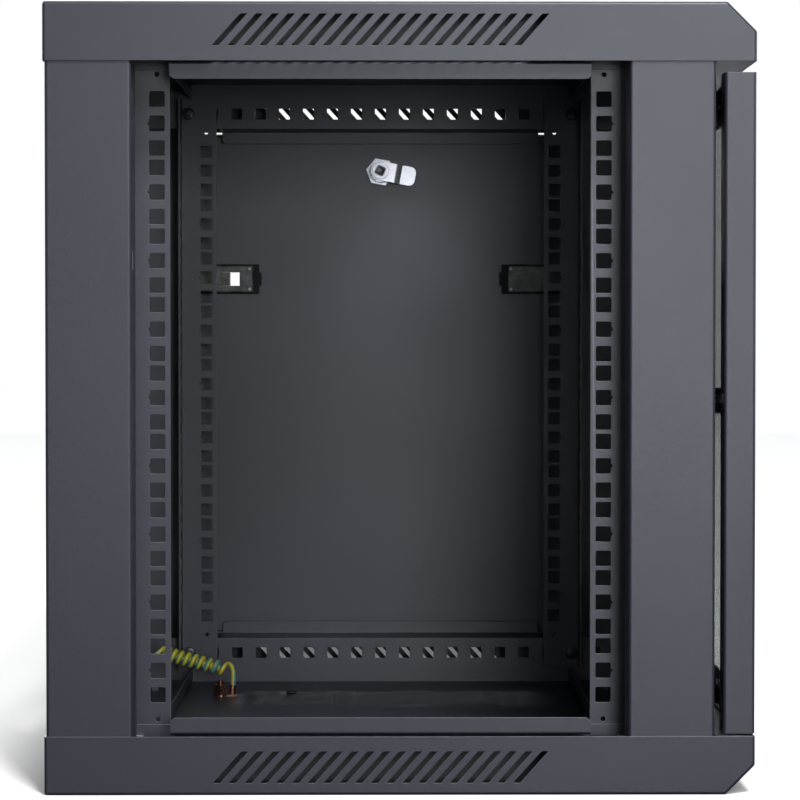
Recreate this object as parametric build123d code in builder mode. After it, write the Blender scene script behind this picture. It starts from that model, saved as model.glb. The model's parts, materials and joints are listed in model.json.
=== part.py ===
"""Nine-unit 19-inch wall cabinet with a glazed door, shown with its left side panel taken off.

Millimetres. +Z is up, the door faces -Y, +X is the right side seen from the front.
The origin is at the bottom centre of the closed cabinet.
"""

import os
from math import cos, pi, radians, sin, sqrt, tan

from build123d import *

# Overall size
width = 600.0
depth = 450.0
height = 501.0

# Sheet metal
sheet = 1.2  # covers, columns, panels and door
rail_sheet = 1.5  # rails and beams
bend = 2.0  # outer radius of a fold
cap_gap = 0.2  # between a cover and the columns it caps
end_gap = 1.0  # between a column's end and the covers

# Top and bottom covers
cover_height = 37.2
cover_bevel = 18.6  # slope along the front edge
cover_flange = 24.0  # turned in behind the front edge
slot_count = 20
slot_pitch = 10.0
slot_height = 20.0
slot_width = 4.4  # measured level
slot_lean = 18.0  # how far a slot leans over its height
slot_inset = 17.8  # slot middle from the cover's outer face
fan_vent = 112.0  # diameter of a fan opening
fan_spacing = 250.0
fan_setback = 52.0  # fan middle in front of the frame's middle
vent_pitch = 12.0
vent_slot = 6.0
fan_hole = 4.5
fan_hole_pitch = 105.0
entry_length = 320.0  # cable entry
entry_width = 52.0
entry_setback = 72.0  # entry middle behind the frame's middle
entry_lap = 10.0  # plate beyond the opening
entry_screw = 4.0
entry_screw_head = 8.0
entry_screw_head_height = 2.4
entry_screw_inset = 5.0  # from the plate's end

# Columns
column_width = 54.6  # along the depth
column_step = 2.6  # column's inner edge outside the beam's web
column_return = 28.0
column_lip = 13.0
lip_end = 45.0  # lip stops this far from the cabinet's ends

# Channels that join the columns under the covers
channel_height = 12.0
channel_gap = 0.5
stud = 5.0
stud_length = 8.0
stud_spacing = 360.0
stud_clearance = 0.2
stud_nut = 8.0
stud_nut_height = 4.0

# Side beams
beam_rise = 36.6  # height of the web
beam_lip = 9.7
beam_lip_gap = 1.1  # lip to the side panel's folded edge
beam_lip_round = 4.0
shelf_inset = 23.0  # ends of shelf and lip from the columns
beam_hole = 9.0
beam_hole_pitch = 20.0
beam_hole_margin = 25.0  # at least, from the web's end
beam_hole_rise = 24.3  # above the cover's inner face
tab_reach = 27.0
tab_inset = 2.0  # tab is this much shorter than the web at each edge
beam_bolt = 6.0
beam_bolt_head = 10.5
beam_bolt_head_height = 3.5
bolt_clearance = 0.2  # round a shank, on the radius

# 19-inch rails
rack_opening = 450.0  # clear width between the rails
rack_hole_spacing = 465.1
rack_unit = 44.45
rack_hole = 10.0
rack_hole_round = 1.2
rack_hole_step = 15.875
rail_outside = 496.0  # over the outer faces of the side flanges
rail_end = 14.0  # from the cabinet's end
rail_margin = 30.0  # plain end of a rail, at least
rail_flange = 30.5  # side flange
rail_setback = 44.6  # mounting face behind the columns' front
rail_hole_inset = 8.5  # hole line from the free edge
rail_notch = 1.5
rail_pilot = 3.2
rail_pilot_step = 9.5  # beyond the outermost unit edge
rail_screw = 6.0
rail_screw_room = 6.5  # at least, from a rail's mounting face to the screw's axis
rail_screw_head = 10.0
rail_screw_head_height = 3.4
cage_nut = 12.0
cage_nut_height = 6.0

# Back panel and wall holes
back_edge = 28.6  # panel's edge from the columns' outer face
back_gap = 0.4
wall_hole = 10.0
wall_hole_inset_x = 70.0  # from the panel's side
wall_hole_inset_z = 42.9  # from the panel's end
back_screw = 5.0
back_screw_head = 9.0
back_screw_head_height = 2.6
back_screw_spacing = 150.0
back_entry_length = 260.0
back_entry_width = 50.0
back_entry_drop = 118.0  # opening's middle below the panel's middle

# Door
door_thickness = 20.0
door_setback = 5.6  # door to columns
door_side_gap = 2.0
door_top_gap = 6.9
door_bottom_gap = 1.4
door_return = 18.0
door_edge_fold = 9.0  # top and bottom edges
door_side_bar = 88.0
door_top_bar = 23.5
glass = 4.0
glass_lap = 12.0
gasket = 1.0
clip_sheet = 1.5
clip_length = 19.0
clip_heel = 4.0  # behind the post
clip_width = 14.0
clip_post = 5.0
clip_post_gap = 6.0  # post centre outside the glass edge
clip_rise = 310.0  # between the clips of one side
clip_run = 260.0  # between the clips of the top or bottom
clip_head = 8.0
clip_head_height = 3.0

# Door hinge, at the right edge
hinge_inset = 10.5  # axis from the cabinet's side
hinge_setback = 9.0  # axis from the front
hinge_pin = 6.0
running_gap = 0.05
pin_reach = 5.0  # beyond a cover's flange
pin_collar = 9.0
pin_collar_height = 3.0
pin_handle = 4.0
pin_handle_reach = 16.0
pin_tail = 8.0  # below the hinge block
hinge_plate = 2.0
hinge_block_rise = 34.0
hinge_block_inset = 8.0  # block from the door's end
hinge_block_depth = 14.0
hinge_ear_reach = 13.0
hinge_washer = 12.0
hinge_washer_height = 1.2

# Cam locks
lock_head = 22.0
lock_head_height = 2.2
lock_head_round = 0.8
lock_barrel = 18.0
lock_plug = 10.0
lock_spigot = 7.0
lock_nut = 21.0
lock_nut_height = 4.0
lock_gap = 0.1
key_length = 6.0
key_width = 1.4
key_depth = 2.0
cam_length = 30.0
cam_width = 16.0
cam_sheet = 2.0
cam_crank = 4.0
cam_bend_start = 12.5
cam_bend_end = 17.0
cam_tip_round = 5.0
cam_clearance = 0.7  # cam to what it locks behind
cam_bolt_head = 14.0
cam_bolt_height = 1.4
cam_bolt_hex = 8.0
cam_bolt_hex_height = 3.6
barrel_clearance = 2.0  # barrel end to cam
door_lock_inset = 65.0  # axis from the cabinet's side
lock_notch = 44.0  # height of the notch that lets the cam through
lock_notch_drop = 10.0
side_lock_drop = 33.5  # axis below the top cover's edge
side_cam_sag = 10.0  # degrees below level when unlocked

# Right side panel
panel_fold = 10.5
panel_gap = 1.0
panel_foot_gap = 0.3
panel_top_gap = 2.3

# Slide latches on the side panel
latch_rise = 88.5  # above mid-height
latch_length = 46.0
latch_height = 23.0
latch_depth = 12.0
latch_round = 1.5
latch_base = 2.5  # thickness of the base plate
latch_base_height = 25.4
latch_base_step = 4.6  # base plate past the body
latch_tail = 2.2
latch_tail_height = 11.4
latch_pin = 2.6
latch_pin_rise = 0.6
latch_pin_inset = 2.8  # from the body's end and edge
latch_floor = 2.7  # wall under the bolt
latch_roof = 4.0  # wall against the panel
bolt_height = 11.0
bolt_length = 36.0
bolt_engage = 6.8  # past the column's face
bolt_travel = 8.0
bolt_gap = 0.3
bolt_nose = 3.0
thumb_length = 7.0
thumb_recess = 0.6

# Earth lead between the floor and the back panel
earth_stud = 6.0
earth_stud_length = 12.4
earth_nut = 10.0
earth_nut_height = 8.0
lug_ring = 12.0
lug_sheet = 1.0
lug_barrel = 5.2
lug_barrel_length = 8.0
lug_tongue = 6.0
lug_gap = 0.2
lead = 3.6
lead_coil = 12.4
earth_x = 161.0
earth_floor_y = 141.0
earth_back_z = 68.0
lead_back_y = 223.8  # the back panel's inner face, where the lead's points were chosen
coil_start = (161.0, 137.5, 22.7)
coil_end = (161.0, 187.5, 35.7)

# Places worked out from the sizes
front_y = -depth / 2
rear_y = depth / 2
side_x = width / 2
mid_z = height / 2
cover_edge_z = height - cover_height
frame_front_y = front_y + door_thickness + door_setback
frame_rear_y = rear_y - sheet
frame_mid_y = (frame_front_y + frame_rear_y) / 2
column_x = side_x - sheet - cap_gap
opening_rear_y = frame_rear_y - column_width
beam_x = rail_outside / 2
column_face = column_x - beam_x - column_step
beam_hole_z = sheet + beam_hole_rise
beam_length = frame_rear_y - frame_front_y - 2 * sheet
beam_hole_count = 2 * int((beam_length / 2 - beam_hole_margin) / beam_hole_pitch) + 1
beam_shelf = 2 * (opening_rear_y - frame_mid_y - shelf_inset)
lip_x = column_x - panel_fold - beam_lip_gap
rail_length = height - 2 * rail_end
rack_units = int((rail_length - 2 * rail_margin) / rack_unit)
rail_face_y = frame_front_y + rail_setback
rail_hole_y = rail_face_y + rail_flange - rail_hole_inset
rail_screw_steps = int((frame_mid_y - rail_face_y - rail_screw_room) / beam_hole_pitch)
rail_screw_run = rail_screw_steps * beam_hole_pitch
back_width = 2 * (column_x - back_edge)
back_height = cover_edge_z - cover_height - 2 * back_gap
door_top_z = cover_edge_z - door_top_gap
door_bottom_z = cover_height + door_bottom_gap
door_mid_z = (door_top_z + door_bottom_z) / 2
door_rear_y = front_y + door_thickness
door_x = side_x - door_side_gap
window_width = 2 * (door_x - door_side_bar)
window_height = door_top_z - door_bottom_z - 2 * door_top_bar
glass_width = window_width + 2 * glass_lap
glass_height = window_height + 2 * glass_lap
glass_y = front_y + sheet + gasket
clip_y = glass_y + glass
hinge_x = side_x - hinge_inset
hinge_y = front_y + hinge_setback
latch_z = mid_z + latch_rise
panel_foot_z = cover_height + panel_foot_gap
panel_top_z = cover_edge_z - panel_top_gap
panel_rear_y = opening_rear_y - panel_gap
latch_rear_y = panel_rear_y - bend
latch_x = column_x - sheet  # panel's inner face
bolt_tip_y = opening_rear_y + bolt_engage

left_right = Plane.YZ
front_rear = Plane.XZ.offset(-frame_mid_y)
top_bottom = Plane.XY.offset(mid_z)

finished = {}


def keep(name, builder):
    builder.part.label = name
    finished[name] = builder.part


def facing_front(y):
    return Plane.XZ.offset(-y)


def facing_right(x):
    return Plane.YZ.offset(x)


def at_level(z):
    return Plane.XY.offset(z)


def folded(plane, radius, thickness, *points):
    """Section of a folded sheet: its outer line runs through the points, the sheet on the right."""
    with BuildSketch(plane) as section:
        with BuildLine():
            FilletPolyline(*points, radius=radius)
            offset(amount=thickness, side=Side.RIGHT)
        make_face()
    return section.sketch


def reflected(part, plane):
    with BuildPart() as copy:
        mirror(part, about=plane)
    return copy.part


def screw(seat, head, head_height, shank, shank_length):
    """Round-headed screw: the head stands on the seat, the shank goes down behind it."""
    with BuildPart() as piece:
        with BuildSketch(seat):
            Circle(head / 2)
        extrude(amount=head_height)
        with BuildSketch(seat):
            Circle(shank / 2)
        extrude(amount=-shank_length)
    return piece.part


def nut(seat, across_flats, nut_height, bore):
    with BuildPart() as piece:
        with BuildSketch(seat):
            RegularPolygon(across_flats / 2, 6, major_radius=False)
            Circle(bore / 2, mode=Mode.SUBTRACT)
        extrude(amount=nut_height)
    return piece.part


# Covers: a folded cap with a sloped front edge, and leaning vent slots in both side faces
with BuildPart() as cover_shell:
    with BuildSketch(Plane.YZ):
        with BuildLine():
            Polyline(
                (rear_y, cover_edge_z),
                (rear_y, height),
                (front_y + cover_bevel, height),
                (front_y, height - cover_bevel),
                (front_y, cover_edge_z),
                close=True,
            )
        make_face()
    extrude(amount=side_x, both=True)
    rim = cover_shell.faces().sort_by(Axis.Z)[0]
    fillet(cover_shell.edges() - rim.edges(), bend)
    offset(amount=-sheet, openings=cover_shell.faces().sort_by(Axis.Z)[0])
    with BuildSketch(at_level(cover_edge_z)):
        with Locations((0, front_y + sheet / 2)):
            Rectangle(width - 2 * bend, cover_flange, align=(Align.CENTER, Align.MIN))
    extrude(amount=sheet)
    with BuildSketch(at_level(cover_edge_z)):
        with Locations((hinge_x, hinge_y)):
            Circle(hinge_pin / 2 + running_gap)
    extrude(amount=sheet, mode=Mode.SUBTRACT)
    with BuildSketch(at_level(height - sheet)):
        for y in (frame_front_y + column_width / 2, frame_rear_y - column_width / 2):
            with Locations((0, y)):
                with GridLocations(stud_spacing, 0, 2, 1):
                    Circle(stud / 2)
    extrude(amount=-stud_length)


def slant_slots(plane, middle_z, lean):
    with BuildSketch(plane) as slots:
        with Locations((frame_mid_y, middle_z)):
            with GridLocations(slot_pitch, 0, slot_count, 1):
                Polygon(
                    (lean / 2 - slot_width / 2, slot_height / 2),
                    (-lean / 2 - slot_width / 2, -slot_height / 2),
                    (-lean / 2 + slot_width / 2, -slot_height / 2),
                    (lean / 2 + slot_width / 2, slot_height / 2),
                )
    return slots.sketch


cut_depth = 3 * sheet
left_skin = facing_right(-side_x - sheet)
right_skin = facing_right(side_x - 2 * sheet)
entry_y = frame_mid_y + entry_setback
entry_screw_run = entry_length + 2 * entry_lap - 2 * entry_screw_inset

with BuildSketch(Plane.XY) as fan_openings:
    vent_rows = int(fan_vent / 2 / vent_pitch)
    for x in (-fan_spacing / 2, fan_spacing / 2):
        for row in range(-vent_rows, vent_rows + 1):
            chord = 2 * sqrt((fan_vent / 2) ** 2 - (row * vent_pitch) ** 2)
            with Locations((x + row * vent_pitch, frame_mid_y - fan_setback)):
                SlotOverall(chord, vent_slot, rotation=90)
        with Locations((x, frame_mid_y - fan_setback)):
            with GridLocations(fan_hole_pitch, fan_hole_pitch, 2, 2):
                Circle(fan_hole / 2)

with BuildSketch(Plane.XY) as entry_opening:
    with Locations((0, entry_y)):
        Rectangle(entry_length, entry_width)
        with GridLocations(entry_screw_run, 0, 2, 1):
            Circle(entry_screw / 2 + bolt_clearance)

with BuildPart() as top_cover:
    add(cover_shell.part)
    extrude(slant_slots(left_skin, height - slot_inset, -slot_lean), cut_depth, mode=Mode.SUBTRACT)
    extrude(slant_slots(right_skin, height - slot_inset, slot_lean), cut_depth, mode=Mode.SUBTRACT)
    extrude(fan_openings.sketch.moved(Location((0, 0, height - sheet))), sheet, mode=Mode.SUBTRACT)
    extrude(entry_opening.sketch.moved(Location((0, 0, height - sheet))), sheet, mode=Mode.SUBTRACT)
keep("top_cover", top_cover)

with BuildPart() as bottom_cover:
    mirror(cover_shell.part, about=top_bottom)
    extrude(slant_slots(left_skin, slot_inset, -slot_lean), cut_depth, mode=Mode.SUBTRACT)
    extrude(slant_slots(right_skin, slot_inset, slot_lean), cut_depth, mode=Mode.SUBTRACT)
    extrude(entry_opening.sketch, sheet, mode=Mode.SUBTRACT)
keep("bottom_cover", bottom_cover)

# Plates that close the cable entries from inside, with their screws
with BuildPart() as bottom_entry_plate:
    with BuildSketch(at_level(sheet)):
        with Locations((0, entry_y)):
            RectangleRounded(entry_length + 2 * entry_lap, entry_width + 2 * entry_lap, entry_lap / 2)
            with GridLocations(entry_screw_run, 0, 2, 1):
                Circle(entry_screw / 2 + bolt_clearance, mode=Mode.SUBTRACT)
    extrude(amount=sheet)
keep("bottom_entry_plate", bottom_entry_plate)

with BuildPart() as top_entry_plate:
    mirror(bottom_entry_plate.part, about=top_bottom)
keep("top_entry_plate", top_entry_plate)

entry_screws_made = []
for x in (-entry_screw_run / 2, entry_screw_run / 2):
    low = screw(
        Plane((x, entry_y, 2 * sheet)), entry_screw_head, entry_screw_head_height, entry_screw, 2 * sheet
    )
    entry_screws_made += [low, reflected(low, top_bottom)]
with BuildPart() as entry_screws:
    add(entry_screws_made)
keep("entry_screws", entry_screws)

# Corner columns: one folded section, mirrored; the front ones have a lip behind the door
latch_window_height = bolt_height + 4 * bolt_gap
latch_window_x = latch_x - latch_roof + bolt_gap  # outermost face of the bolt's way
latch_window_depth = latch_depth - latch_floor - latch_roof + 4 * bolt_gap
beam_bolt_x = beam_x + rail_sheet + tab_reach / 2
beam_bolt_z = sheet + beam_rise / 2

with BuildPart() as plain_column:
    extrude(
        folded(
            at_level(sheet + end_gap),
            bend,
            sheet,
            (column_x - column_return, frame_front_y + column_width),
            (column_x, frame_front_y + column_width),
            (column_x, frame_front_y),
            (column_x - column_face, frame_front_y),
        ),
        height - 2 * (sheet + end_gap),
    )
    with BuildSketch(facing_front(frame_front_y)):
        for z in (beam_bolt_z, height - beam_bolt_z):
            with Locations((beam_bolt_x, z)):
                Circle(beam_bolt / 2 + bolt_clearance)
    extrude(amount=-2 * sheet, mode=Mode.SUBTRACT)
    with BuildSketch(facing_front(frame_front_y + column_width)):
        with Locations((latch_window_x + bolt_gap, latch_z)):
            Rectangle(latch_window_depth, latch_window_height, align=(Align.MAX, Align.CENTER))
    extrude(amount=2 * sheet, mode=Mode.SUBTRACT)

back_screw_x = (back_width / 2 + column_x - column_face) / 2
back_screw_rows = (mid_z - back_screw_spacing, mid_z, mid_z + back_screw_spacing)

with BuildPart() as rear_right_column:
    mirror(plain_column.part, about=front_rear)
    with BuildSketch(facing_front(frame_rear_y)):
        for z in back_screw_rows:
            with Locations((back_screw_x, z)):
                Circle(back_screw / 2 + bolt_clearance)
    extrude(amount=2 * sheet, mode=Mode.SUBTRACT)
keep("rear_right_column", rear_right_column)

with BuildPart() as rear_left_column:
    mirror(rear_right_column.part, about=left_right)
keep("rear_left_column", rear_left_column)

with BuildPart() as front_right_column:
    add(plain_column.part)
    with BuildSketch(at_level(lip_end)):
        with Locations((column_x - column_face, frame_front_y)):
            Rectangle(sheet, column_lip, align=Align.MIN)
    extrude(amount=height - 2 * lip_end)
keep("front_right_column", front_right_column)

with BuildPart() as front_left_column:
    mirror(front_right_column.part, about=left_right)
    with BuildSketch(facing_right(-column_x + column_face - 2 * sheet)):
        with Locations((frame_front_y + sheet, door_mid_z - lock_notch_drop)):
            Rectangle(column_lip, lock_notch, align=Align.MIN)
    extrude(amount=3 * sheet, mode=Mode.SUBTRACT)
keep("front_left_column", front_left_column)

# Channels under the covers, bolted to studs on the covers
with BuildPart() as top_front_channel:
    channel_z = height - sheet
    extrude(
        folded(
            facing_right(-beam_x + channel_gap),
            bend,
            sheet,
            (frame_front_y, channel_z - channel_height),
            (frame_front_y, channel_z),
            (frame_front_y + column_width, channel_z),
            (frame_front_y + column_width, channel_z - channel_height),
        ),
        2 * (beam_x - channel_gap),
    )
    with BuildSketch(at_level(channel_z)):
        with Locations((0, frame_front_y + column_width / 2)):
            with GridLocations(stud_spacing, 0, 2, 1):
                Circle(stud / 2 + stud_clearance)
    extrude(amount=-2 * sheet, mode=Mode.SUBTRACT)
keep("top_front_channel", top_front_channel)

with BuildPart() as top_rear_channel:
    mirror(top_front_channel.part, about=front_rear)
keep("top_rear_channel", top_rear_channel)

with BuildPart() as bottom_front_channel:
    mirror(top_front_channel.part, about=top_bottom)
keep("bottom_front_channel", bottom_front_channel)

with BuildPart() as bottom_rear_channel:
    mirror(top_rear_channel.part, about=top_bottom)
keep("bottom_rear_channel", bottom_rear_channel)

channel_nuts_made = []
for x in (-stud_spacing / 2, stud_spacing / 2):
    seat = Plane((x, frame_front_y + column_width / 2, 2 * sheet))
    near = nut(seat, stud_nut, stud_nut_height, stud + 2 * stud_clearance)
    far = reflected(near, front_rear)
    channel_nuts_made += [near, far, reflected(near, top_bottom), reflected(far, top_bottom)]
with BuildPart() as channel_nuts:
    add(channel_nuts_made)
keep("channel_nuts", channel_nuts)

# Side beams: a punched web, a shelf and lip that the side panel closes against, and end tabs
shelf_z = sheet + beam_rise
with BuildPart() as bottom_right_beam:
    with BuildSketch(at_level(sheet)):
        with Locations((beam_x, frame_front_y + sheet)):
            Rectangle(rail_sheet, beam_length, align=Align.MIN)
        for y, align_y in ((frame_front_y + sheet, Align.MIN), (frame_rear_y - sheet, Align.MAX)):
            with Locations((beam_x, y)):
                Rectangle(tab_reach + rail_sheet, rail_sheet, align=(Align.MIN, align_y))
    extrude(amount=beam_rise - bend)
    with BuildSketch(at_level(sheet)):
        with Locations((beam_x + rail_sheet, frame_mid_y)):
            Rectangle(tab_reach, beam_length, align=(Align.MIN, Align.CENTER))
    extrude(amount=tab_inset, mode=Mode.SUBTRACT)
    with BuildSketch(at_level(shelf_z - bend)):
        with Locations((beam_x, frame_mid_y)):
            Rectangle(rail_sheet, beam_length, align=(Align.MIN, Align.CENTER))
    extrude(amount=bend)
    with BuildSketch(facing_front(frame_mid_y - beam_shelf / 2)):
        with BuildLine():
            FilletPolyline(
                (beam_x, sheet + beam_hole_rise + beam_hole),
                (beam_x, shelf_z),
                (lip_x - rail_sheet, shelf_z),
                (lip_x - rail_sheet, shelf_z + beam_lip),
                radius=(bend, bend - rail_sheet),
            )
            offset(amount=rail_sheet, side=Side.RIGHT)
        make_face()
    extrude(amount=-beam_shelf)
    lip_corners = bottom_right_beam.edges().filter_by(Axis.X).group_by(Axis.Z)[-1]
    fillet(lip_corners, beam_lip_round)
    with BuildSketch(facing_right(beam_x)):
        with Locations((frame_mid_y, beam_hole_z)):
            with GridLocations(beam_hole_pitch, 0, beam_hole_count, 1):
                Rectangle(beam_hole, beam_hole)
    extrude(amount=rail_sheet, mode=Mode.SUBTRACT)
    with BuildSketch(facing_front(frame_front_y)):
        with Locations((beam_bolt_x, beam_bolt_z)):
            Circle(beam_bolt / 2 + bolt_clearance)
    extrude(amount=frame_front_y - frame_rear_y, mode=Mode.SUBTRACT)
keep("bottom_right_beam", bottom_right_beam)

with BuildPart() as bottom_left_beam:
    mirror(bottom_right_beam.part, about=left_right)
keep("bottom_left_beam", bottom_left_beam)

with BuildPart() as top_right_beam:
    mirror(bottom_right_beam.part, about=top_bottom)
keep("top_right_beam", top_right_beam)

with BuildPart() as top_left_beam:
    mirror(bottom_left_beam.part, about=top_bottom)
keep("top_left_beam", top_left_beam)

beam_bolts_made = []
for x in (-beam_bolt_x, beam_bolt_x):
    seat = Plane((x, frame_front_y + sheet + rail_sheet, beam_bolt_z), z_dir=(0, 1, 0))
    near = screw(seat, beam_bolt_head, beam_bolt_head_height, beam_bolt, sheet + rail_sheet)
    far = reflected(near, front_rear)
    beam_bolts_made += [near, far, reflected(near, top_bottom), reflected(far, top_bottom)]
with BuildPart() as beam_bolts:
    add(beam_bolts_made)
keep("beam_bolts", beam_bolts)

# 19-inch rails: square holes at the standard pitch in both flanges, a notch marking each unit
with BuildSketch(Plane.XY) as rack_holes:
    for unit in range(rack_units):
        unit_z = (unit - (rack_units - 1) / 2) * rack_unit
        with Locations((0, unit_z)):
            with GridLocations(0, rack_hole_step, 1, 3):
                RectangleRounded(rack_hole, rack_hole, rack_hole_round)
            with Locations((-rack_hole / 2, 0)):
                Polygon((0, -rail_notch), (0, rail_notch), (-rail_notch, 0), align=(Align.MAX, Align.CENTER))

with BuildPart() as front_right_rail:
    extrude(
        folded(
            at_level(mid_z - rail_length / 2),
            bend,
            rail_sheet,
            (beam_x, rail_face_y + rail_flange),
            (beam_x, rail_face_y),
            (rack_opening / 2, rail_face_y),
        ),
        rail_length,
    )
    side_holes = Plane((beam_x, rail_hole_y, mid_z), x_dir=(0, 1, 0), z_dir=(1, 0, 0))
    extrude(side_holes * rack_holes.sketch, -2 * rail_sheet, mode=Mode.SUBTRACT)
    face_holes = Plane((rack_hole_spacing / 2, rail_face_y, mid_z), x_dir=(1, 0, 0), z_dir=(0, -1, 0))
    extrude(face_holes * rack_holes.sketch, -2 * rail_sheet, mode=Mode.SUBTRACT)
    pilot_rise = rack_units * rack_unit / 2 + rail_pilot_step
    with BuildSketch(facing_right(beam_x)):
        with Locations((rail_hole_y, mid_z)):
            with GridLocations(0, 2 * pilot_rise, 1, 2):
                Circle(rail_pilot / 2)
        with Locations((frame_mid_y - rail_screw_run, mid_z)):
            with GridLocations(0, height - 2 * beam_hole_z, 1, 2):
                Circle(rail_screw / 2 + bolt_clearance)
    extrude(amount=-2 * rail_sheet, mode=Mode.SUBTRACT)
keep("front_right_rail", front_right_rail)

with BuildPart() as front_left_rail:
    mirror(front_right_rail.part, about=left_right)
keep("front_left_rail", front_left_rail)

with BuildPart() as rear_right_rail:
    mirror(front_right_rail.part, about=front_rear)
keep("rear_right_rail", rear_right_rail)

with BuildPart() as rear_left_rail:
    mirror(front_left_rail.part, about=front_rear)
keep("rear_left_rail", rear_left_rail)

# Rail screws and the caged nuts behind the beams
rail_screws_made = []
cage_nuts_made = []
for side in (-1, 1):
    inward = (-side, 0, 0)
    seat = Plane((side * (beam_x - rail_sheet), frame_mid_y - rail_screw_run, beam_hole_z), z_dir=inward)
    shank = 2 * rail_sheet + cage_nut_height
    near = screw(seat, rail_screw_head, rail_screw_head_height, rail_screw, shank)
    far = reflected(near, front_rear)
    rail_screws_made += [near, far, reflected(near, top_bottom), reflected(far, top_bottom)]
    with BuildPart() as caged:
        with BuildSketch(Plane(seat.origin, z_dir=inward).offset(-2 * rail_sheet)):
            Rectangle(cage_nut, cage_nut)
            Circle(rail_screw / 2 + bolt_clearance, mode=Mode.SUBTRACT)
        extrude(amount=-cage_nut_height)
    back = reflected(caged.part, front_rear)
    cage_nuts_made += [caged.part, back, reflected(caged.part, top_bottom), reflected(back, top_bottom)]
with BuildPart() as rail_screws:
    add(rail_screws_made)
keep("rail_screws", rail_screws)
with BuildPart() as cage_nuts:
    add(cage_nuts_made)
keep("cage_nuts", cage_nuts)

# Back panel with wall holes and a cable opening, screwed to the rear columns
with BuildPart() as back_panel:
    with BuildSketch(facing_front(frame_rear_y)):
        with Locations((0, mid_z)):
            Rectangle(back_width, back_height)
            with GridLocations(back_width - 2 * wall_hole_inset_x, back_height - 2 * wall_hole_inset_z, 2, 2):
                Circle(wall_hole / 2, mode=Mode.SUBTRACT)
            with GridLocations(2 * back_screw_x, back_screw_spacing, 2, 3):
                Circle(back_screw / 2 + bolt_clearance, mode=Mode.SUBTRACT)
        with Locations((0, mid_z - back_entry_drop)):
            SlotOverall(back_entry_length, back_entry_width, mode=Mode.SUBTRACT)
    extrude(amount=-sheet)
keep("back_panel", back_panel)

back_screws_made = []
for z in back_screw_rows:
    seat = Plane((back_screw_x, frame_rear_y - sheet, z), z_dir=(0, -1, 0))
    right = screw(seat, back_screw_head, back_screw_head_height, back_screw, 2 * sheet)
    back_screws_made += [right, reflected(right, left_right)]
with BuildPart() as back_screws:
    add(back_screws_made)
keep("back_screws", back_screws)

# Right side panel, its edges folded in; slots let the two latch bolts out
panel_mid_z = (panel_foot_z + panel_top_z) / 2
thumb_rear_y = bolt_tip_y - bolt_length + thumb_length
thumb_slot_front_y = thumb_rear_y - thumb_length - bolt_travel - bolt_gap
thumb_slot_length = thumb_length + bolt_travel + 2 * bolt_gap
bolt_way_height = bolt_height + 2 * bolt_gap
bolt_outer_x = latch_x - latch_roof
bolt_inner_x = latch_x - latch_depth + latch_floor
side_lock_z = cover_edge_z - side_lock_drop

with BuildPart() as right_side_panel:
    with BuildSketch(facing_right(column_x)):
        with Locations((frame_mid_y, panel_mid_z)):
            Rectangle(2 * (panel_rear_y - frame_mid_y), panel_top_z - panel_foot_z)
    extrude(amount=-panel_fold)
    outer_face = right_side_panel.faces().sort_by(Axis.X)[-1]
    fillet(outer_face.edges(), bend)
    offset(amount=-sheet, openings=right_side_panel.faces().sort_by(Axis.X)[0])
    with BuildSketch(facing_right(column_x)):
        with Locations((frame_mid_y, side_lock_z)):
            Circle(lock_barrel / 2 + lock_gap)
        for y, side in ((thumb_slot_front_y, Align.MIN), (2 * frame_mid_y - thumb_slot_front_y, Align.MAX)):
            with Locations((y, latch_z)):
                Rectangle(thumb_slot_length, bolt_way_height, align=(side, Align.CENTER))
    extrude(amount=-2 * sheet, mode=Mode.SUBTRACT)
    with BuildSketch(facing_front(frame_mid_y)):
        with Locations(((bolt_outer_x + bolt_inner_x) / 2, latch_z)):
            Rectangle(bolt_outer_x - bolt_inner_x + 2 * bolt_gap, bolt_way_height)
    extrude(amount=depth / 2, both=True, mode=Mode.SUBTRACT)
keep("right_side_panel", right_side_panel)

# Slide latches: a moulded housing with a bolt that a thumb draws back through the panel.
# The rear housing also has a window on the inside, over the thumb's slot.
with BuildPart() as closed_latch:
    with BuildSketch(facing_right(latch_x)):
        with Locations((latch_rear_y, latch_z)):
            Rectangle(latch_length, latch_height, align=(Align.MAX, Align.CENTER))
    extrude(amount=-latch_depth)
    inner_face = closed_latch.faces().sort_by(Axis.X)[0]
    fillet(inner_face.edges(), latch_round)
    with BuildSketch(facing_right(latch_x)):
        with Locations((latch_rear_y, latch_z)):
            base_length = latch_length + latch_base_step
            Rectangle(base_length, latch_base_height, align=(Align.MAX, Align.CENTER))
            Rectangle(base_length + latch_tail, latch_tail_height, align=(Align.MAX, Align.CENTER))
    extrude(amount=-latch_base)
    pin_y = latch_rear_y - latch_length + latch_pin_inset
    pin_rise = latch_height / 2 - latch_pin_inset
    with BuildSketch(facing_right(latch_x - latch_depth)):
        with Locations((pin_y, latch_z - pin_rise), (pin_y, latch_z + pin_rise)):
            Circle(latch_pin / 2)
    extrude(amount=-latch_pin_rise)
    way_length = latch_rear_y - thumb_slot_front_y
    with BuildSketch(facing_right(bolt_outer_x + bolt_gap)):
        with Locations((thumb_slot_front_y, latch_z)):
            Rectangle(way_length, bolt_way_height, align=(Align.MIN, Align.CENTER))
    extrude(amount=bolt_inner_x - bolt_outer_x - 2 * bolt_gap, mode=Mode.SUBTRACT)
    with BuildSketch(facing_right(latch_x)) as thumb_slot:
        with Locations((thumb_slot_front_y, latch_z)):
            Rectangle(thumb_slot_length, bolt_way_height, align=(Align.MIN, Align.CENTER))
    extrude(amount=-latch_roof, mode=Mode.SUBTRACT)

with BuildPart() as rear_latch_housing:
    add(closed_latch.part)
    extrude(thumb_slot.sketch, -latch_depth, mode=Mode.SUBTRACT)
keep("rear_latch_housing", rear_latch_housing)

with BuildPart() as front_latch_housing:
    mirror(closed_latch.part, about=front_rear)
keep("front_latch_housing", front_latch_housing)

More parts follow.
